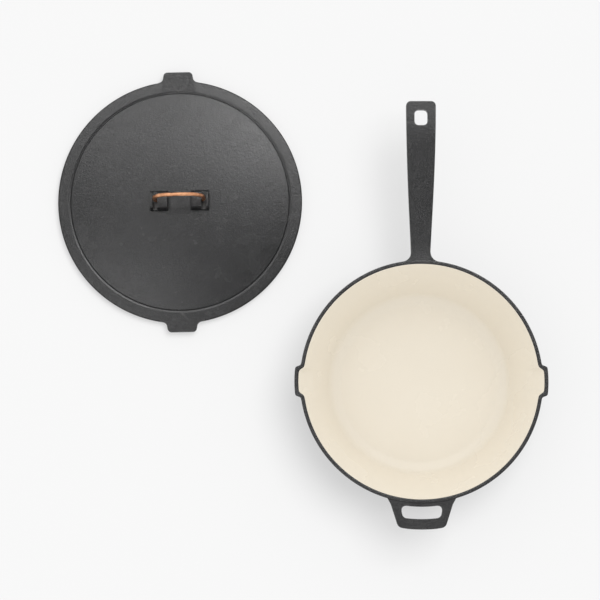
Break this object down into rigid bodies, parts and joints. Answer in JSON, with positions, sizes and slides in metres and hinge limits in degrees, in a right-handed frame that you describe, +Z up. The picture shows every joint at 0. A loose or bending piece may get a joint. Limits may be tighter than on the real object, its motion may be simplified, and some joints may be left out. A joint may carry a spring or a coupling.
{
  "type": "cast iron covered pan",
  "caption": "Deep flared cast iron pan with an enamelled inside, a long handle, a slotted helper handle and pouring spouts, with its domed wire-handled lid beside it.",
  "frame": {"origin": "centre of the pan's flat base, on the table", "axes": "+Z up out of the pan, +Y along the long handle, the lid beside the pan towards -X"},
  "size_m": [0.6425, 0.6064, 0.0967],
  "materials": {
    "iron": "matte sand-cast black iron",
    "enamel": "glossy cream enamel",
    "copper": "polished hammered copper"
  },
  "bodies": {
    "pan": {"pan_bowl": "iron", "enamel_lining": "enamel", "long_handle": "iron", "helper_handle": "iron"},
    "lid": {"lid_plate": "iron", "lug_left": "iron", "lug_right": "iron"},
    "lid_handle": {"lid_handle": "copper"}
  },
  "joints": [
    {"name": "lid_lift", "type": "slide", "parent": "pan", "child": "lid", "axis": [0, 0, 1], "range_m": [0, 0.15]},
    {"name": "handle_pivot", "type": "hinge", "parent": "lid", "child": "lid_handle", "pos_m": [-0.316, 0.242, 0.0285], "axis": [0.9998, 0.0209, 0], "range_deg": [-86, 94]}
  ]
}
